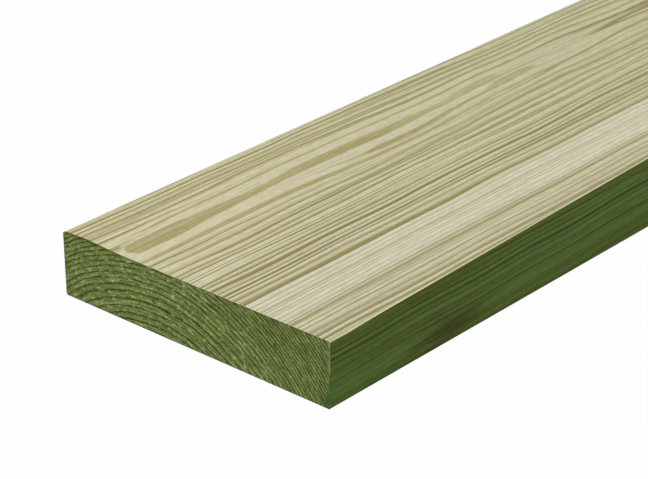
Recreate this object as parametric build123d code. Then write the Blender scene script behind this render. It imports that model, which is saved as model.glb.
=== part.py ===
from build123d import *
import os

# Pressure-treated pine board: one length of sawn softwood, planed on all four sides.
# It lies flat on its wide face. X runs along the grain, Y across the width and Z up,
# with the origin at the middle of the underside.

# Driving dimensions, in millimetres
length = 1800.0  # a stock length of planed board
width = 140.0  # planed width
thickness = 28.0  # planed thickness
arris_radius = 1.0  # light easing that the planer leaves on the four long edges


def planed_section():
    """Cross-section that leaves the planer, drawn on the near end and standing on Z = 0."""
    near_end = Plane(origin=(-length / 2, 0, 0), x_dir=(0, 1, 0), z_dir=(1, 0, 0))
    face_middle = Location((0, thickness / 2))
    return near_end * face_middle * RectangleRounded(width, thickness, arris_radius)


def pine_board():
    """The section run along the grain to its stock length, cut off square at both ends."""
    board = extrude(planed_section(), amount=length)
    board.label = "board"
    return board


os.makedirs("parts", exist_ok=True)
export_step(pine_board(), "parts/board.step")
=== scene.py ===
import math

import bmesh
import bpy
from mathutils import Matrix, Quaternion, Vector


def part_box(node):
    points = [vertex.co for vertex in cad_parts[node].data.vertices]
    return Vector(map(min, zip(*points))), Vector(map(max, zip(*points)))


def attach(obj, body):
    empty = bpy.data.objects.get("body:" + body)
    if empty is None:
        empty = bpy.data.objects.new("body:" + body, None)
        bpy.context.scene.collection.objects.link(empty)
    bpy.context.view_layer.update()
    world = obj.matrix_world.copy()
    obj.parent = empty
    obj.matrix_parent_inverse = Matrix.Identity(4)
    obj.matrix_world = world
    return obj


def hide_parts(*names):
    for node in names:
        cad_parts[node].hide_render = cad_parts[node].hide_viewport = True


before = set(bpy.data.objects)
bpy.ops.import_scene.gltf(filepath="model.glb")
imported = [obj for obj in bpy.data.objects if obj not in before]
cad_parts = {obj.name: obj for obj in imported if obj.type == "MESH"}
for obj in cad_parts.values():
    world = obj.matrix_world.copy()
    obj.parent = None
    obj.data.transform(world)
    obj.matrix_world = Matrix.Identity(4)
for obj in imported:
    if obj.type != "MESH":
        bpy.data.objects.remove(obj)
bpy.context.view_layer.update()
scene = bpy.context.scene
mm = 0.001
tiny = 0.001 * mm  # anything closer than this is in the same place

low, high = (Vector(corner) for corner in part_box("board"))
size = high - low
middle = (low + high) / 2
nearEnd = low.x  # the sawn end that faces the camera
print("frame loaded, board", [round(side / mm, 1) for side in size], "mm")


def hexColour(text):
    # from sRGB to linear
    parts = [int(text[i:i + 2], 16) / 255 for i in (1, 3, 5)]
    return [c / 12.92 if c <= 0.04045 else ((c + 0.055) / 1.055) ** 2.4 for c in parts] + [1.0]


def addNode(tree, kind, inputs=(), **settings):
    # inputs are a list in the order shown on the node, or a dictionary by name
    node = tree.nodes.new(kind if hasattr(bpy.types, kind) else "ShaderNode" + kind)
    for name, value in settings.items():
        setattr(node, name, value)
    if isinstance(inputs, dict):
        pairs = [(node.inputs[name], value) for name, value in inputs.items()]
    else:
        pairs = zip([socket for socket in node.inputs if socket.enabled], inputs)
    for socket, value in pairs:
        if isinstance(value, bpy.types.Node):
            value = next(output for output in value.outputs if output.enabled)
        if isinstance(value, bpy.types.NodeSocket):
            tree.links.new(value, socket)
        elif isinstance(value, str) and value.startswith("#"):
            socket.default_value = hexColour(value)
        else:
            socket.default_value = value
    return node


# The tree that the faces and edges are cut from, in millimetres and years. The pith runs along the board,
# below it and left of the middle, so the wide faces show stripes that open out over the pith.
growth = {
    "pithAcross": 22.0,  # towards the left edge from the board's middle
    "pithLean": 0.5,  # and further left with each millimetre up: the trunk leaned
    "pithBelow": 55.08,  # under the underside
    "taper": 0.003,  # radius lost with each millimetre of length
    "bends": [(0.9, 170.0, 26.0), (0.4, 45.0, 10.0)],  # size, length and width of each bend in the rings
    "bendSeed": 3.7,
    "yearsAtRadius": [
        (52, -4.6), (69, 3.0), (78.2, 7.4), (82.1, 8.8), (84.1, 10.5), (87.7, 14), (91.5, 17.2),
        (96.3, 20.2), (100.2, 23), (102, 24), (104.8, 25), (117, 33), (135, 41),
    ],
    "ringsClose": (80, 92),  # radius over which the wide rings turn to close ones
    "unevenWidth": 0.7,  # rings, between wide and narrow years
    "unevenRate": 0.8,  # how fast one gives way to the other, for each year
    "longYear": 24,  # a late season that ran on, just inside the pale years
    "paleYears": (25, 33),  # little late wood
    # parts of a year, from 0 to 1
    "lateStarts": (0.15, 0.6),  # soonest and latest
    "longYearSooner": 0.2,
    "lateFull": 0.85,
    "lineStarts": (0.76, 0.5),  # the hard line that closes the year, in wide and in close rings
    "lineFull": 0.88,
    "yearEnds": 0.93,
    # strength, from 0 to 1
    "lateStrength": (0.7, 1.0),  # weakest and strongest year
    "lineStrength": (0.3, 1.0),
    "fadedStrength": 0.65,
    # how the lines fade along the board
    "fadeLength": 230.0,  # over which a line comes and goes
    "fadeApart": 7.3,  # keeps each year's fading apart from the next
    "fadeLevels": (0.3, 0.6),  # of the noise, from faded to full
}


def growthRings(tree, place, g):
    xyz = addNode(tree, "SeparateXYZ", [place])
    along = addNode(tree, "Math", [xyz.outputs["X"], -nearEnd / mm], operation="ADD")

    # distance from the pith, pushed in and out by the taper and the bends
    pith = addNode(tree, "Math", [xyz.outputs["Z"], g["pithLean"], g["pithAcross"]], operation="MULTIPLY_ADD")
    across = addNode(tree, "Math", [xyz.outputs["Y"], pith], operation="SUBTRACT")
    up = addNode(tree, "Math", [xyz.outputs["Z"], g["pithBelow"]], operation="ADD")
    out = addNode(tree, "CombineXYZ", [across, up])
    radius = addNode(tree, "VectorMath", [out], operation="LENGTH")
    radius = addNode(tree, "Math", [along, g["taper"], radius], operation="MULTIPLY_ADD")
    for bendSize, bendLength, bendWidth in g["bends"]:
        stretch = (1 / bendLength, 1 / bendWidth, 1 / bendWidth)
        spot = addNode(tree, "VectorMath", [place, stretch], operation="MULTIPLY")
        bend = addNode(tree, "TexNoise", {"Vector": spot, "W": g["bendSeed"], "Scale": 1.0, "Detail": 1.0},
                       noise_dimensions="4D")
        bend = addNode(tree, "Math", [bend, 0.5], operation="SUBTRACT")
        radius = addNode(tree, "Math", [bend, 2 * bendSize, radius], operation="MULTIPLY_ADD")

    # years counted out from the pith: wide rings first, then close ones
    points = g["yearsAtRadius"]
    inner, first = points[0]
    outer, last = points[-1]
    share = addNode(tree, "MapRange", [radius, inner, outer])
    curve = addNode(tree, "FloatCurve", {"Value": share})
    for r, years in points[1:-1]:
        curve.mapping.curves[0].points.new((r - inner) / (outer - inner), (years - first) / (last - first))
    curve.mapping.update()
    count = addNode(tree, "MapRange", [curve, 0.0, 1.0, first, last])
    uneven = addNode(tree, "TexNoise", {"W": count, "Scale": g["unevenRate"], "Detail": 0.0},
                     noise_dimensions="1D")
    uneven = addNode(tree, "Math", [uneven, 0.5], operation="SUBTRACT")
    count = addNode(tree, "Math", [uneven, g["unevenWidth"], count], operation="MULTIPLY_ADD")
    year = addNode(tree, "Math", [count], operation="FLOOR")
    season = addNode(tree, "Math", [count], operation="FRACT")

    # each year has its own late season: how early it starts, and how dark it is
    chance = addNode(tree, "TexWhiteNoise", {"W": year}, noise_dimensions="1D")
    chance = addNode(tree, "SeparateXYZ", [chance.outputs["Color"]])
    long = addNode(tree, "Math", [year, g["longYear"], 0.5], operation="COMPARE")
    start = addNode(tree, "MapRange", [chance.outputs["X"], 0.0, 1.0, *g["lateStarts"]])
    start = addNode(tree, "Math", [long, -g["longYearSooner"], start], operation="MULTIPLY_ADD")
    rise = addNode(tree, "MapRange", [season, start, g["lateFull"]], interpolation_type="SMOOTHSTEP")
    stop = addNode(tree, "MapRange", [season, g["yearEnds"], 1.0, 1.0, 0.0], interpolation_type="SMOOTHSTEP")
    even = addNode(tree, "Math", [rise, stop], operation="MULTIPLY")
    close = addNode(tree, "MapRange", [radius, *g["ringsClose"]])
    sharp = addNode(tree, "MapRange", [close, 0.0, 1.0, *g["lineStarts"]])
    hard = addNode(tree, "MapRange", [season, sharp, g["lineFull"]], interpolation_type="SMOOTHSTEP")
    hard = addNode(tree, "Math", [hard, stop], operation="MULTIPLY")

    # and comes and goes along the board
    reach = addNode(tree, "Math", [along, 1 / g["fadeLength"]], operation="MULTIPLY")
    row = addNode(tree, "Math", [year, g["fadeApart"]], operation="MULTIPLY")
    fade = addNode(tree, "CombineXYZ", [reach, row])
    fade = addNode(tree, "TexNoise", {"Vector": fade, "Scale": 1.0, "Detail": 1.0}, noise_dimensions="2D")
    fade = addNode(tree, "MapRange", [fade, *g["fadeLevels"], g["fadedStrength"], 1.0])
    dark = addNode(tree, "MapRange", [chance.outputs["Y"], 0.0, 1.0, *g["lateStrength"]])
    dark = addNode(tree, "Math", [dark, long], operation="MAXIMUM")
    dark = addNode(tree, "Math", [dark, fade], operation="MULTIPLY")
    late = addNode(tree, "Math", [even, dark], operation="MULTIPLY")
    keen = addNode(tree, "MapRange", [chance.outputs["Z"], 0.0, 1.0, *g["lineStrength"]])
    keen = addNode(tree, "Math", [keen, fade], operation="MULTIPLY")
    keen = addNode(tree, "Math", [keen, hard], operation="MULTIPLY")

    # distance round the ring
    angle = addNode(tree, "Math", [across, up], operation="ARCTAN2")
    arc = addNode(tree, "Math", [angle, radius], operation="MULTIPLY")
    return {"Late": late, "Keen": keen, "Even": even, "Hard": hard, "Close": close, "Count": count,
            "Radius": radius, "Arc": arc}


# at the sawn ends the pith has wandered to the right and down, and the rings are wider and more even
endGrowth = {
    **growth,
    "pithAcross": 19.0,
    "pithLean": 0.0,
    "pithBelow": 61.0,
    "yearsAtRadius": [
        (55, -2.5), (65, 1), (70.5, 3), (77, 5), (82, 7), (89, 10), (100, 16), (112, 24), (130, 36),
    ],
    "ringsClose": (87, 100),
    "unevenWidth": 0.15,
}

# the faces and the edges share one group of these nodes, so that they are cut from the same rings
ringGroup = bpy.data.node_groups.new("growthRings", "ShaderNodeTree")
ringGroup.interface.new_socket("Place", in_out="INPUT", socket_type="NodeSocketVector")
found = growthRings(ringGroup, addNode(ringGroup, "NodeGroupInput"), growth)
for name in found:
    ringGroup.interface.new_socket(name, in_out="OUTPUT", socket_type="NodeSocketFloat")
addNode(ringGroup, "NodeGroupOutput", found)
print("growth rings drawn")


# what the three finishes share: dry wood hardly shines, as its open fibres scatter the light
bareWood = {"IOR": 1.5, "Specular IOR Level": 0.08}


def newFinish(name, roughness):
    finish = bpy.data.materials.new(name)
    finish.use_nodes = True
    tree = finish.node_tree
    tree.nodes.clear()
    coords = addNode(tree, "TexCoord")
    place = addNode(tree, "VectorMath", [coords.outputs["Object"], 1 / mm], operation="SCALE")
    surface = addNode(tree, "BsdfPrincipled", {**bareWood, "Roughness": roughness})
    addNode(tree, "OutputMaterial", [surface])
    return finish, tree, place, surface


def grain(tree, place, length, width, detail=2.0):
    # noise drawn out along the board
    stretch = (1 / length, 1 / width, 1 / width)
    spot = addNode(tree, "VectorMath", [place, stretch], operation="MULTIPLY")
    return addNode(tree, "TexNoise", {"Vector": spot, "Scale": 1.0, "Detail": detail, "Roughness": 0.6})


def streaks(tree, place, length, width, levels, strength, detail=2.0):
    # grain that goes from one strength to another between two levels of its noise
    noise = grain(tree, place, length, width, detail)
    return addNode(tree, "MapRange", [noise, *levels, *strength])


def dress(tree, surface, wood, tones, height, bumpStrength, bumpDepth):
    # each noise makes the wood darker and lighter by its swing, and the height shows as fine relief
    for noise, swing in tones:
        tone = addNode(tree, "MapRange", [noise, 0.25, 0.75, 1 - swing, 1 + swing])
        wood = addNode(tree, "VectorMath", [wood, tone], operation="SCALE")
    bump = addNode(tree, "Bump", {"Height": height, "Strength": bumpStrength, "Distance": bumpDepth * mm})
    tree.links.new(wood.outputs[0], surface.inputs["Base Color"])
    tree.links.new(bump.outputs[0], surface.inputs["Normal"])


planedFace = {
    "roughness": 0.62,
    "early": "#d8d0aa",
    "earlyGrey": "#d7d0b2",
    "earlyFar": "#c7c49f",
    "late": "#a69c63",
    "line": "#817a4b",
    "paleEarly": "#dad5bb",
    "paleLate": "#b4b091",
    # painted highlight: pale cream where the eased arris of the right edge and the near end catches the light
    "paintedRimHighlightAndShade": "#ded9b9",
    # painted shade: the green strip's colours, darker than the edge's own green, as dark as the edge looks in
    # shade
    "skipEarlyShaded": "#414f16",
    "skipLateShaded": "#303b0c",
    # bands of straw and grey under the rings, then late wood and dark lines that no ring explains
    "bands": {"length": 320.0, "width": 6.0, "levels": (0.4, 0.6), "strength": (0.0, 1.0)},
    "strayLate": {"length": 240.0, "width": 1.8, "levels": (0.54, 0.76), "strength": (0.0, 0.6)},
    "strayLines": {"length": 300.0, "width": 0.9, "levels": (0.57, 0.66), "strength": (0.0, 0.75),
                   "detail": 1.0},
    # wood fibres are 3 mm by 0.03 mm and the planer's fuzz is finer than a millimetre: both drawn coarser
    "fibre": (12.0, 0.5, 3.0),  # length, width and detail
    "fuzz": (3.6, 1.3, 1.0),
    "fibreTone": 0.14,  # how much darker and lighter they make the wood
    "fuzzTone": 0.07,
    "ringHeight": 0.6,  # of the late wood in the bump, against the fibres
    "bump": (0.5, 0.06),  # strength, and depth in millimetres
    "fadeReach": 280.0,  # from the near end, over which the early wood turns to earlyFar and the lines weaken
    "fadeShare": 0.8,  # of earlyFar in the wood beyond that
    "lineStrength": (1.2, 0.85),  # at the near end, and beyond that
    "paleAfter": 0.25,  # how pale the wood stays after the pale years
    # the crest of the rings over the pith, where the face runs level with them
    "crest": (36.0, 34.0),  # where it is across the board, and how far it reaches each way
    "crestLoose": (20.0, 120.0),  # from the near end, where its lines begin to stray and where all do
    "wander": (1.4, 80.0, 16.0),  # how far all lines stray sideways, and over what length and width
    "crestWander": (8.0, 100.0, 45.0),  # and over the crest
    "swell": (1.2, 240.0, 10.0),  # height, length and width of the swellings over it
    "broadLate": (0.06, 0.6, 0.0, 0.8),  # levels of the late wood cut along, and its strength at each
    # late wood in tongues from the near end and lens shapes further in: half the width at each distance
    # along the board, by the place of its middle across
    "tongues": {
        37.5: [(2, 0), (5, 4.0), (12, 5.0), (28, 5.4), (40, 4.5), (52, 3.7), (67, 3.0), (82, 2.5),
               (120, 1.9), (200, 1.5), (300, 0)],
        26.3: [(0, 1.5), (30, 2.0), (70, 2.1), (120, 1.8), (220, 1.4), (300, 0)],
        46.8: [(0, 0), (20, 0.9), (34, 1.4), (54, 1.5), (88, 1.2), (200, 1.1), (300, 0)],
        39.6: [(60, 0), (72, 0.7), (88, 1.0), (106, 2.0), (126, 2.4), (148, 1.9), (178, 1.3), (240, 0)],
        31.0: [(95, 0), (108, 0.7), (126, 0.9), (140, 1.7), (155, 2.3), (175, 1.9), (210, 1.4), (340, 0)],
    },
    "tongueFray": 1.2,  # how far the fibres fray the outline
    "tongueEdge": (-0.4, 0.5),  # distances past the outline between which the tongue ends
    "tongueGrain": {"length": 60.0, "width": 1.4, "levels": (0.35, 0.65), "strength": (0.6, 1.0)},
    "plainEdge": (1.4, 4.4),  # and between which the other lines come back
    "plainLeft": 0.2,  # of those lines beside a tongue
    "plainReach": (140.0, 290.0),  # from the near end, between which they come back everywhere
    # the right edge and the near end, with a painted highlight along their eased arris
    "paintedRimWidth": 0.7,
    "paintedRimStrength": 0.8,
    "rimLine": (1.5, 0.7),  # olive line beside the right edge: its distance from it, and half its width
    "rimLineStrength": 0.5,
    "skip": (8.8, 300.0, 1300.0),  # widest strip that the planer missed, where that is, and where it ends
    "corner": (58.0, 24.0, 1.4),  # green left at the near end: where across, how far each way, how deep
}


def pastTongues(tree, along, across):
    # distance outside the nearest tongue, and below zero inside it
    past = 20.0  # more than any edge needs
    for middleAt, widths in planedFace["tongues"].items():
        reach = widths[-1][0]
        widest = max(width for where, width in widths)
        half = addNode(tree, "FloatCurve", {"Value": addNode(tree, "MapRange", [along, 0.0, reach])})
        points = half.mapping.curves[0].points
        points[0].location = (0.0, widths[0][1] / widest)
        points[1].location = (1.0, 0.0)
        for where, width in widths[:-1]:
            if where > 0:
                points.new(where / reach, width / widest)
        half.mapping.update()
        away = addNode(tree, "Math", [across, middleAt], operation="SUBTRACT")
        away = addNode(tree, "Math", [away], operation="ABSOLUTE")
        away = addNode(tree, "Math", [half, -widest, away], operation="MULTIPLY_ADD")
        past = addNode(tree, "Math", [away, past], operation="MINIMUM")
    return past


# Planed pine, cleaned up after the treatment: matt pale straw, with olive late wood in stripes.
def planedPineFace():
    f = planedFace
    finish, tree, place, surface = newFinish("planedPineFace", f["roughness"])
    xyz = addNode(tree, "SeparateXYZ", [place])
    along = addNode(tree, "Math", [xyz.outputs["X"], -nearEnd / mm], operation="ADD")

    # every line wanders a little from side to side, and most over the crest
    crestAt, crestReach = f["crest"]
    aside = addNode(tree, "Math", [xyz.outputs["Y"], crestAt], operation="SUBTRACT")
    aside = addNode(tree, "Math", [aside], operation="ABSOLUTE")
    crest = addNode(tree, "MapRange", [aside, 0.0, crestReach, 1.0, 0.0], interpolation_type="SMOOTHSTEP")
    loose = addNode(tree, "MapRange", [along, *f["crestLoose"]])
    loose = addNode(tree, "Math", [crest, loose], operation="MULTIPLY")
    across = xyz.outputs["Y"]
    for (reach, length, width), share in ((f["wander"], 1.0), (f["crestWander"], loose)):
        stray = grain(tree, place, length, width, 1.0)
        stray = addNode(tree, "Math", [stray, 0.5], operation="SUBTRACT")
        stray = addNode(tree, "Math", [stray, share], operation="MULTIPLY")
        across = addNode(tree, "Math", [stray, 2 * reach, across], operation="MULTIPLY_ADD")
    place = addNode(tree, "CombineXYZ", [xyz.outputs["X"], across, xyz.outputs["Z"]])

    # swellings lift the crest through the face, and open its lines out into long loops
    swellHeight, swellLength, swellWidth = f["swell"]
    swell = grain(tree, place, swellLength, swellWidth, 1.0)
    swell = addNode(tree, "Math", [swell, 0.5], operation="SUBTRACT")
    swell = addNode(tree, "Math", [swell, 2 * swellHeight], operation="MULTIPLY")
    swell = addNode(tree, "Math", [swell, crest], operation="MULTIPLY")
    lift = addNode(tree, "CombineXYZ", {"Z": swell})
    lifted = addNode(tree, "VectorMath", [place, lift], operation="ADD")
    rings = addNode(tree, "Group", [lifted], node_tree=ringGroup)
    late, keen, count = (rings.outputs[name] for name in ("Late", "Keen", "Count"))

    # from the crest to the left edge the late wood is cut along, and lies broad
    broad = addNode(tree, "MapRange", [late, *f["broadLate"]])
    flat = addNode(tree, "MapRange", [across, crestAt - crestReach, crestAt], interpolation_type="SMOOTHSTEP")
    broad = addNode(tree, "Math", [broad, flat], operation="MULTIPLY")
    late = addNode(tree, "Math", [late, broad], operation="MAXIMUM")

    # straw and grey bands under the rings, and stray lines among them
    early = streaks(tree, place, **f["bands"])
    early = addNode(tree, "Mix", [early, f["early"], f["earlyGrey"]], data_type="RGBA")
    inward = addNode(tree, "MapRange", [along, 0.0, f["fadeReach"]])
    dim = addNode(tree, "Math", [inward, f["fadeShare"]], operation="MULTIPLY")
    early = addNode(tree, "Mix", [dim, early, f["earlyFar"]], data_type="RGBA")
    late = addNode(tree, "Math", [late, streaks(tree, place, **f["strayLate"])], operation="MAXIMUM")
    keen = addNode(tree, "Math", [keen, streaks(tree, place, **f["strayLines"])], operation="MAXIMUM")

    # all of them are strongest by the near end
    strength = addNode(tree, "MapRange", [inward, 0.0, 1.0, *f["lineStrength"]])
    late = addNode(tree, "Math", [late, strength], operation="MULTIPLY", use_clamp=True)
    keen = addNode(tree, "Math", [keen, strength], operation="MULTIPLY", use_clamp=True)

    # tongues, with plain wood between them
    fibre = grain(tree, place, *f["fibre"])
    past = pastTongues(tree, along, across)
    past = addNode(tree, "Math", [fibre, f["tongueFray"], past], operation="MULTIPLY_ADD")
    tongue = addNode(tree, "MapRange", [past, *f["tongueEdge"], 1.0, 0.0])
    tongue = addNode(tree, "Math", [tongue, streaks(tree, place, **f["tongueGrain"])], operation="MULTIPLY")
    plain = addNode(tree, "MapRange", [past, *f["plainEdge"], f["plainLeft"], 1.0])
    distant = addNode(tree, "MapRange", [along, *f["plainReach"]])
    plain = addNode(tree, "Math", [plain, distant], operation="MAXIMUM")
    late = addNode(tree, "Math", [late, plain], operation="MULTIPLY")
    keen = addNode(tree, "Math", [keen, plain], operation="MULTIPLY")
    late = addNode(tree, "Math", [late, tongue], operation="MAXIMUM")
    wood = addNode(tree, "Mix", [late, early, f["late"]], data_type="RGBA")
    wood = addNode(tree, "Mix", [keen, wood, f["line"]], data_type="RGBA")

    # the pale years
    first, last = growth["paleYears"]
    began = addNode(tree, "Math", [count, first], operation="GREATER_THAN")
    ended = addNode(tree, "MapRange", [count, last, last + 1, 1.0, f["paleAfter"]])
    pale = addNode(tree, "Math", [began, ended], operation="MULTIPLY")
    paleWood = addNode(tree, "Mix", [late, f["paleEarly"], f["paleLate"]], data_type="RGBA")
    wood = addNode(tree, "Mix", [pale, wood, paleWood], data_type="RGBA")

    # along the right edge the planer missed a strip, which widens from the near end and runs out again
    widest, widestAt, endAt = f["skip"]
    opens = addNode(tree, "MapRange", [along, 0.0, widestAt, 0.0, widest])
    shuts = addNode(tree, "MapRange", [along, widestAt, endAt, widest, 0.0])
    missed = addNode(tree, "Math", [opens, shuts], operation="MINIMUM")
    fromRight = addNode(tree, "Math", [xyz.outputs["Y"], -low.y / mm], operation="ADD")
    fromStrip = addNode(tree, "Math", [fromRight, missed], operation="SUBTRACT")

    # painted highlight: the planed wood is painted pale along it and along the near end, where the eased
    # arris catches the light
    beside = addNode(tree, "Math", [fromStrip, *f["rimLine"]], operation="COMPARE")
    beside = addNode(tree, "Math", [beside, f["rimLineStrength"]], operation="MULTIPLY")
    wood = addNode(tree, "Mix", [beside, wood, f["late"]], data_type="RGBA")
    # painted highlight along the right edge and the near end
    within = addNode(tree, "Math", [fromStrip, along], operation="MINIMUM")
    paintedRimHighlightAndShade = addNode(tree, "MapRange", [within, f["paintedRimWidth"], 0.4 * f["paintedRimWidth"], 0.0, f["paintedRimStrength"]])
    wood = addNode(tree, "Mix", [paintedRimHighlightAndShade, wood, f["paintedRimHighlightAndShade"]], data_type="RGBA")

    # and the strip is still green, as is a little of the near end, painted darker than the edge's own green:
    # painted shade, as dark as the shaded edge beside it
    shadedGreen = addNode(tree, "Mix", [late, f["skipEarlyShaded"], f["skipLateShaded"]], data_type="RGBA")
    skip = addNode(tree, "Math", [fromStrip, 0.0], operation="LESS_THAN")
    cornerAt, cornerReach, cornerDepth = f["corner"]
    corner = addNode(tree, "Math", [xyz.outputs["Y"], cornerAt], operation="SUBTRACT")
    corner = addNode(tree, "Math", [corner], operation="ABSOLUTE")
    corner = addNode(tree, "MapRange", [corner, 0.0, cornerReach, cornerDepth, 0.0])
    corner = addNode(tree, "Math", [along, corner], operation="LESS_THAN")
    skip = addNode(tree, "Math", [skip, corner], operation="MAXIMUM")
    wood = addNode(tree, "Mix", [skip, wood, shadedGreen], data_type="RGBA")

    fuzz = grain(tree, place, *f["fuzz"])
    tones = ((fibre, f["fibreTone"]), (fuzz, f["fuzzTone"]))
    height = addNode(tree, "Math", [rings.outputs["Late"], f["ringHeight"], fibre], operation="MULTIPLY_ADD")
    dress(tree, surface, wood, tones, height, *f["bump"])
    return finish


treatedEdge = {
    "roughness": 0.65,
    "early": "#637c3d",
    "late": "#4d5a1b",
    "line": "#38430a",
    "brown": "#3f400a",
    "rise": 8.0,  # how far the lines climb by the middle of the board
    "wave": (5.0, 110.0),  # height and length of their waves
    "streaks": {"length": 260.0, "width": 3.0, "levels": (0.4, 0.75), "strength": (0.05, 0.75)},
    "ringShare": 0.2,  # of the late wood of the rings, added to those streaks
    "lines": (0.25, 0.7, 0.0, 0.9),  # levels of the hard lines, and their strength at each
    "patches": {"length": 60.0, "width": 9.0, "levels": (0.54, 0.74), "strength": (0.0, 0.6)},
    "stain": (68.0, 5.0),  # brown stain: its middle from the near end and up from the underside
    "stainSize": (38.0, 17.0),
    "stainGrain": (40.0, 1.5),  # length and width of the streaks that it ends in
    "stainFray": 2.0,
    "stainEdge": (0.9, 1.9, 0.9, 0.0),  # where it begins to end and has ended, and its strength at each
    "fibre": (22.0, 0.5, 3.0),  # length, width and detail, drawn coarser here too
    "fuzz": (3.6, 1.3, 1.0),
    "fibreTone": 0.15,
    "fuzzTone": 0.1,
    "bump": (0.5, 0.06),
}


# Planed pine that kept the treatment's copper stain: dark matt green with darker lines along it.
def treatedPineEdge():
    f = treatedEdge
    finish, tree, place, surface = newFinish("treatedPineEdge", f["roughness"])

    # the edges are cut across a bow in the log, so that the lines climb from the near end
    xyz = addNode(tree, "SeparateXYZ", [place])
    turn = addNode(tree, "Math", [xyz.outputs["X"], -nearEnd / mm], operation="ADD")
    turn = addNode(tree, "Math", [turn, math.pi * mm / size.x], operation="MULTIPLY")
    bow = addNode(tree, "Math", [turn], operation="SINE")
    bow = addNode(tree, "Math", [bow, -f["rise"], xyz.outputs["Z"]], operation="MULTIPLY_ADD")
    waveHeight, waveLength = f["wave"]
    wave = addNode(tree, "Math", [xyz.outputs["X"], 1 / waveLength], operation="MULTIPLY")
    wave = addNode(tree, "TexNoise", {"W": wave, "Scale": 1.0, "Detail": 1.0}, noise_dimensions="1D")
    bow = addNode(tree, "Math", [wave, waveHeight, bow], operation="MULTIPLY_ADD")
    bowed = addNode(tree, "CombineXYZ", [xyz.outputs["X"], xyz.outputs["Y"], bow])
    rings = addNode(tree, "Group", [bowed], node_tree=ringGroup)

    late = streaks(tree, bowed, **f["streaks"])
    late = addNode(tree, "Math", [rings.outputs["Late"], f["ringShare"], late], operation="MULTIPLY_ADD",
                   use_clamp=True)
    wood = addNode(tree, "Mix", [late, f["early"], f["late"]], data_type="RGBA")
    keen = addNode(tree, "MapRange", [rings.outputs["Keen"], *f["lines"]])
    wood = addNode(tree, "Mix", [keen, wood, f["line"]], data_type="RGBA")

    # brown where the wood was wet: small patches, and one ragged stain low on the right edge
    patch = streaks(tree, bowed, **f["patches"])
    stainAlong, stainUp = f["stain"]
    stainLength, stainHeight = f["stainSize"]
    spot = (nearEnd / mm + stainAlong, low.y / mm, stainUp)
    shrink = (1 / stainLength, 1 / stainHeight, 1 / stainHeight)
    stain = addNode(tree, "VectorMath", [place, spot], operation="SUBTRACT")
    stain = addNode(tree, "VectorMath", [stain, shrink], operation="MULTIPLY")
    stain = addNode(tree, "VectorMath", [stain], operation="LENGTH")
    ragged = grain(tree, bowed, *f["stainGrain"])
    stain = addNode(tree, "Math", [ragged, f["stainFray"], stain], operation="MULTIPLY_ADD")
    stain = addNode(tree, "MapRange", [stain, *f["stainEdge"]], interpolation_type="SMOOTHSTEP")
    patch = addNode(tree, "Math", [patch, stain], operation="MAXIMUM")
    wood = addNode(tree, "Mix", [patch, wood, f["brown"]], data_type="RGBA")

    fibre = grain(tree, bowed, *f["fibre"])
    fuzz = grain(tree, bowed, *f["fuzz"])
    tones = ((fibre, f["fibreTone"]), (fuzz, f["fuzzTone"]))
    dress(tree, surface, wood, tones, fibre, *f["bump"])
    return finish


sawnEnd = {
    "roughness": 0.8,
    "early": "#707d42",
    "late": "#3b4810",
    "line": "#2b3606",
    "fleck": "#a6b384",
    # painted shade: a dark line along the left and top edges
    "paintedRimHighlightAndShade": "#333d0c",
    "rub": "#8a9462",
    "bite": "#4a6233",
    # length round the rings, width across them and detail
    "mottles": (8.0, 1.6, 2.0),
    "breaks": (14.0, 2.0, 1.0),  # in the dark lines
    "dashes": (3.6, 0.7, 1.0),
    "flecks": (2.8, 0.95, 2.0),  # torn fibres
    "crumbs": 1.3,  # for each millimetre: fibre ends are finer than this, and drawn coarser
    "mottleTone": 0.15,
    "dashTone": 0.45,
    "crumbTone": 0.5,
    "lateStrength": (0.4, 0.6),  # in wide and in close rings
    # levels, and the strength at each
    "softLines": (0.7, 1.0, 0.0, 0.85),  # of the wide rings
    "hardLines": (0.3, 0.8, 0.0, 1.0),  # of the close ones
    "broken": (0.32, 0.56, 0.4, 1.0),
    "flecked": (0.57, 0.7, 0.0, 0.8),
    "fewerFlecks": (1.0, 0.4),  # in wide and in close rings
    # width and strength of the painted shade along the left and top edges
    "paintedRimWidth": 0.7,
    "paintedRimStrength": 0.6,
    "rubWidth": 1.1,
    "rubStrength": 0.45,
    "biteSize": (3.2, 15.0),  # width at the underside and height of the chip off the right corner
    "biteEdge": 0.2,
    "bump": (0.6, 0.15),
}


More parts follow.
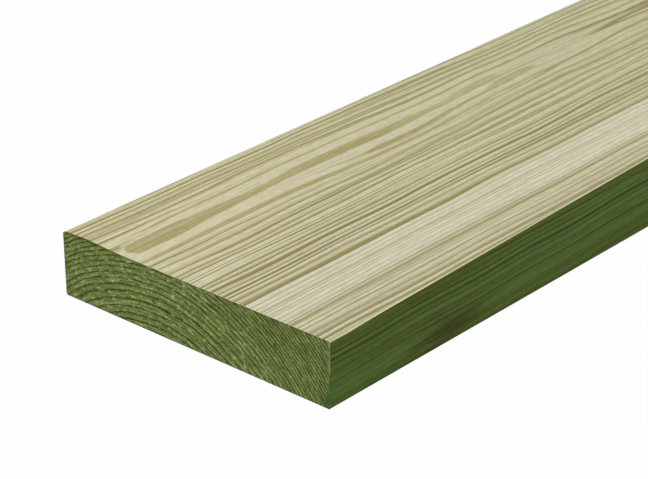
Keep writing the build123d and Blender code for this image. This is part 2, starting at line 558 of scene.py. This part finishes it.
# Sawn across the grain: the open fibres drank the treatment, so the rings show as rough green arcs.
def sawnPineEnd():
    f = sawnEnd
    finish, tree, place, surface = newFinish("sawnPineEnd", f["roughness"])
    xyz = addNode(tree, "SeparateXYZ", [place])
    y, z = xyz.outputs["Y"], xyz.outputs["Z"]
    rings = growthRings(tree, place, endGrowth)
    arc, radius, close = (rings[name] for name in ("Arc", "Radius", "Close"))

    # mottles, breaks, dashes and flecks all lie round the rings, and each has its own slice of the noise
    noises = []
    for length, width, detail in (f["mottles"], f["breaks"], f["dashes"], f["flecks"]):
        u = addNode(tree, "Math", [arc, 1 / length], operation="MULTIPLY")
        v = addNode(tree, "Math", [radius, 1 / width], operation="MULTIPLY")
        spot = addNode(tree, "CombineXYZ", [u, v, length])
        noises.append(addNode(tree, "TexNoise", {"Vector": spot, "Scale": 1.0, "Detail": detail}))
    mottle, broken, dash, torn = noises

    # soft late wood, broken dark lines and pale flecks
    late = addNode(tree, "MapRange", [close, 0.0, 1.0, *f["lateStrength"]])
    late = addNode(tree, "Math", [late, rings["Even"]], operation="MULTIPLY")
    wood = addNode(tree, "Mix", [late, f["early"], f["late"]], data_type="RGBA")
    soft = addNode(tree, "MapRange", [rings["Even"], *f["softLines"]])
    hard = addNode(tree, "MapRange", [rings["Hard"], *f["hardLines"]])
    line = addNode(tree, "Mix", [close, soft, hard])
    broken = addNode(tree, "MapRange", [broken, *f["broken"]])
    line = addNode(tree, "Math", [line, broken], operation="MULTIPLY")
    wood = addNode(tree, "Mix", [line, wood, f["line"]], data_type="RGBA")
    fleck = addNode(tree, "MapRange", [torn, *f["flecked"]])
    fewer = addNode(tree, "MapRange", [close, 0.0, 1.0, *f["fewerFlecks"]])
    fleck = addNode(tree, "Math", [fleck, fewer], operation="MULTIPLY")
    wood = addNode(tree, "Mix", [fleck, wood, f["fleck"]], data_type="RGBA")

    # painted shade: a dark line along the left and top edges
    fromLeft = addNode(tree, "Math", [high.y / mm, y], operation="SUBTRACT")
    fromTop = addNode(tree, "Math", [high.z / mm, z], operation="SUBTRACT")
    inside = addNode(tree, "Math", [fromLeft, fromTop], operation="MINIMUM")
    paintedRimHighlightAndShade = addNode(tree, "MapRange", [inside, 0.3 * f["paintedRimWidth"], f["paintedRimWidth"], f["paintedRimStrength"], 0.0])
    wood = addNode(tree, "Mix", [paintedRimHighlightAndShade, wood, f["paintedRimHighlightAndShade"]], data_type="RGBA")

    # pale where the right edge was rubbed, with a chip off its foot
    fromRight = addNode(tree, "Math", [y, -low.y / mm], operation="ADD")
    rub = addNode(tree, "MapRange", [fromRight, 0.4 * f["rubWidth"], f["rubWidth"], f["rubStrength"], 0.0])
    wood = addNode(tree, "Mix", [rub, wood, f["rub"]], data_type="RGBA")
    biteWidth, biteHeight = f["biteSize"]
    bite = addNode(tree, "MapRange", [z, 0.0, biteHeight, biteWidth, 0.0])
    bite = addNode(tree, "Math", [bite, fromRight], operation="SUBTRACT")
    bite = addNode(tree, "MapRange", [bite, -f["biteEdge"], f["biteEdge"]])
    wood = addNode(tree, "Mix", [bite, wood, f["bite"]], data_type="RGBA")

    crumb = addNode(tree, "TexNoise", {"Vector": place, "Scale": f["crumbs"], "Detail": 2.0,
                                       "Roughness": 0.7})
    tones = ((mottle, f["mottleTone"]), (dash, f["dashTone"]), (crumb, f["crumbTone"]))
    dress(tree, surface, wood, tones, torn, *f["bump"])
    return finish


boardShape = {
    "arrisRadius": 1.0 * mm,
    "cell": 0.5 * mm,  # grid across the section, fine enough for the rings
    "rowsAlong": 90,
    "crowding": 0.98,  # rows crowd towards the ends
    "endBreak": 0.3 * mm,  # the saw's sharp rim, worn off
    "paleReach": 38.0,  # degrees of the arris that were planed clean with the wide face
    "relief": {"face": 0.05 * mm, "edge": 0.05 * mm, "end": 0.16 * mm},
    "sheet": 0.84,  # part of the map's height for the unrolled girth, with the ends above it
    "sheetGap": 0.005,
}
faceSlot, edgeSlot, endSlot = range(3)  # in the order in which the finishes are put on


def boardGrid():
    s = boardShape
    bm = bmesh.new()
    bmesh.ops.create_cube(bm, size=1.0)
    bmesh.ops.scale(bm, vec=size, verts=bm.verts)
    bmesh.ops.translate(bm, vec=middle, verts=bm.verts)
    cells = (s["rowsAlong"], round(size.y / s["cell"]), round(size.z / s["cell"]))
    for axis, number in enumerate(cells):
        runs = [e for e in bm.edges if abs((e.verts[0].co - e.verts[1].co)[axis]) > tiny]
        bmesh.ops.subdivide_edges(bm, edges=runs, cuts=number - 1, use_grid_fill=True)
    bm.normal_update()
    return bm


def layOut(bm):
    # a finish for each side, and a map with the girth unrolled as one sheet
    s = boardShape
    sheet, gap = s["sheet"], s["sheetGap"]
    girth = 2 * (size.y + size.z)
    uvMap = bm.loops.layers.uv.new("OFBake")
    reach = size.y / 2 - s["arrisRadius"] * (1 - math.tan(math.radians(s["paleReach"])))
    for face in bm.faces:
        n = face.normal
        face.smooth = True
        if abs(n.x) > 0.5:
            face.material_index = endSlot
        elif abs(n.z) > 0.5 and abs(face.calc_center_median().y - middle.y) < reach:
            face.material_index = faceSlot
        else:
            face.material_index = edgeSlot
        for loop in face.loops:
            p = loop.vert.co - low
            if abs(n.x) > 0.5:
                u = (0.5 if n.x > 0 else 0) + gap + p.y / size.y * (0.5 - 2 * gap)
                v = sheet + 2 * gap + p.z / size.z * (1 - sheet - 3 * gap)
            else:
                if n.z > 0.5:
                    around = size.y - p.y
                elif n.y < -0.5:
                    around = size.y + size.z - p.z
                elif n.z < -0.5:
                    around = size.y + size.z + p.y
                else:
                    around = girth - size.z + p.z
                u = p.x / size.x
                v = gap + around / girth * (sheet - gap)
            loop[uvMap].uv = (u, v)


def roundOff(bm):
    # rows crowd towards the ends, then the four long corners of the section are rolled over
    s = boardShape
    r = s["arrisRadius"]
    depth = bm.verts.layers.float.new("relief")
    endDepth = bm.verts.layers.float.new("endRelief")
    for vert in bm.verts:
        atEnd = abs(abs(vert.co.x - middle.x) - size.x / 2) < tiny
        atRim = atEnd and any(abs(f.normal.x) < 0.5 for f in vert.link_faces)
        onFace = any(abs(f.normal.z) > 0.5 for f in vert.link_faces)
        if not atEnd:
            vert[depth] = s["relief"]["face" if onFace else "edge"]
        elif not atRim:
            vert[endDepth] = s["relief"]["end"]
        along = (vert.co.x - middle.x) / (size.x / 2)
        along += s["crowding"] * math.sin(math.pi * along) / math.pi
        vert.co.x = middle.x + along * size.x / 2
        if atRim:
            vert.co.x -= math.copysign(s["endBreak"], along)
        over = [max(abs(vert.co[i] - middle[i]) - (size[i] / 2 - r), 0) for i in (1, 2)]
        if min(over) > 0:
            pull = max(over) / math.hypot(*over)
            for i, extra in zip((1, 2), over):
                vert.co[i] -= math.copysign(extra * (1 - pull), vert.co[i] - middle[i])


def raiseRings(piece):
    # soft early wood lies lower than the hard late wood, so the relief follows the same rings
    tree = bpy.data.node_groups.new("ringRelief", "GeometryNodeTree")
    for way in ("INPUT", "OUTPUT"):
        tree.interface.new_socket("Geometry", in_out=way, socket_type="NodeSocketGeometry")
    solid = addNode(tree, "NodeGroupInput")
    where = addNode(tree, "GeometryNodeInputPosition")
    place = addNode(tree, "VectorMath", [where, 1 / mm], operation="SCALE")
    layers = {"relief": growth, "endRelief": endGrowth}
    sink = 0.0
    for layer, g in layers.items():
        depth = addNode(tree, "GeometryNodeInputNamedAttribute", [layer], data_type="FLOAT")
        soft = addNode(tree, "Math", [growthRings(tree, place, g)["Late"], 1.0], operation="SUBTRACT")
        sink = addNode(tree, "Math", [soft, depth.outputs["Attribute"], sink], operation="MULTIPLY_ADD")
    normal = addNode(tree, "GeometryNodeInputNormal")
    move = addNode(tree, "VectorMath", [normal.outputs["Normal"], sink], operation="SCALE")
    moved = addNode(tree, "GeometryNodeSetPosition", {"Geometry": solid, "Offset": move})
    addNode(tree, "NodeGroupOutput", [moved])
    piece.modifiers.new("ringRelief", "NODES").node_group = tree
    depsgraph = bpy.context.evaluated_depsgraph_get()
    shaped = piece.evaluated_get(depsgraph)
    raised = bpy.data.meshes.new_from_object(shaped, preserve_all_data_layers=True, depsgraph=depsgraph)
    piece.modifiers.clear()
    piece.data = raised
    for layer in layers:
        raised.attributes.remove(raised.attributes[layer])


bm = boardGrid()
layOut(bm)
roundOff(bm)
mesh = bpy.data.meshes.new("planedBoard")
bm.to_mesh(mesh)
bm.free()
for finish in (planedPineFace(), treatedPineEdge(), sawnPineEnd()):
    mesh.materials.append(finish)
board = bpy.data.objects.new("planedBoard", mesh)
scene.collection.objects.link(board)
raiseRings(board)
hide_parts("board")
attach(board, "root")
print("board made,", sum(len(p.vertices) - 2 for p in board.data.polygons), "triangles")


# studio: white floor and surroundings, and one large soft lamp over the near end
studio = {
    "ambient": 0.3,
    "keyPlace": (-5.55, -1.26, 6.69),
    "keyAim": (nearEnd + 150.0 * mm, 0.0, size.z),
    "keySize": 7.2,
    "keyPower": 612.0,
    "floor": "#cbcbc9",
    "floorSize": 20.0,
    "floorGlow": 0.98,  # how much of the floor is plain white to the eye; the rest takes the shadow
}


def seenByEye(tree):
    # on for the camera and for reflections, and off for the light that reaches the board
    path = addNode(tree, "LightPath")
    seen = path.outputs["Is Camera Ray"]
    for ray in ("Is Glossy Ray", "Is Transmission Ray"):
        seen = addNode(tree, "Math", [seen, path.outputs[ray]], operation="MAXIMUM")
    return seen


def makeStudio():
    s = studio
    bm = bmesh.new()
    bmesh.ops.create_grid(bm, x_segments=1, y_segments=1, size=s["floorSize"])
    bmesh.ops.translate(bm, vec=(0, 0, low.z), verts=bm.verts)
    mesh = bpy.data.meshes.new("floor")
    bm.to_mesh(mesh)
    bm.free()
    floor = bpy.data.objects.new("floor", mesh)
    scene.collection.objects.link(floor)

    # white to the eye and in reflections, and still an ordinary matt floor to the light
    paint = bpy.data.materials.new("studioFloor")
    paint.use_nodes = True
    tree = paint.node_tree
    tree.nodes.clear()
    seen = addNode(tree, "Math", [seenByEye(tree), s["floorGlow"]], operation="MULTIPLY")
    matt = addNode(tree, "BsdfDiffuse", {"Color": s["floor"]})
    glow = addNode(tree, "Emission", {"Color": "#ffffff", "Strength": 1.0})
    both = addNode(tree, "MixShader", [seen, matt, glow])
    addNode(tree, "OutputMaterial", [both])
    mesh.materials.append(paint)

    world = bpy.data.worlds.new("studio")
    scene.world = world
    world.use_nodes = True
    tree = world.node_tree
    tree.nodes.clear()
    light = addNode(tree, "Background", {"Color": "#ffffff", "Strength": s["ambient"]})
    white = addNode(tree, "Background", {"Color": "#ffffff", "Strength": 1.0})
    both = addNode(tree, "MixShader", [seenByEye(tree), light, white])
    addNode(tree, "OutputWorld", [both])

    lamp = bpy.data.lights.new("key", "AREA")
    lamp.shape = "DISK"
    lamp.size = s["keySize"]
    lamp.energy = s["keyPower"]
    key = bpy.data.objects.new("key", lamp)
    key.location = s["keyPlace"]
    key.rotation_euler = (Vector(s["keyAim"]) - key.location).to_track_quat("-Z", "Y").to_euler()
    scene.collection.objects.link(key)


makeStudio()
print("studio lit")


# the photograph's view: a long lens, from the near end and the right, looking down
photoView = {
    "lens": 133.0,
    "sensor": 36.0,
    "azimuth": -48.3,  # degrees
    "elevation": 26.0,
    "turn": -0.4,
    "aim": (nearEnd + 61.6 * mm, -12.7 * mm, high.z),
    "distance": 0.932,
}


def makeCamera():
    v = photoView
    a, e, turn = (math.radians(v[k]) for k in ("azimuth", "elevation", "turn"))
    back = Vector((math.sin(a) * math.cos(e), -math.cos(a) * math.cos(e), math.sin(e)))
    lens = bpy.data.cameras.new("camera")
    lens.lens = v["lens"]
    lens.sensor_width = v["sensor"]
    camera = bpy.data.objects.new("camera", lens)
    camera.location = Vector(v["aim"]) + back * v["distance"]
    camera.rotation_mode = "QUATERNION"
    camera.rotation_quaternion = (-back).to_track_quat("-Z", "Y") @ Quaternion((0, 0, 1), turn)
    scene.collection.objects.link(camera)
    scene.camera = camera


makeCamera()
scene.view_settings.view_transform = "Standard"
print("camera set")
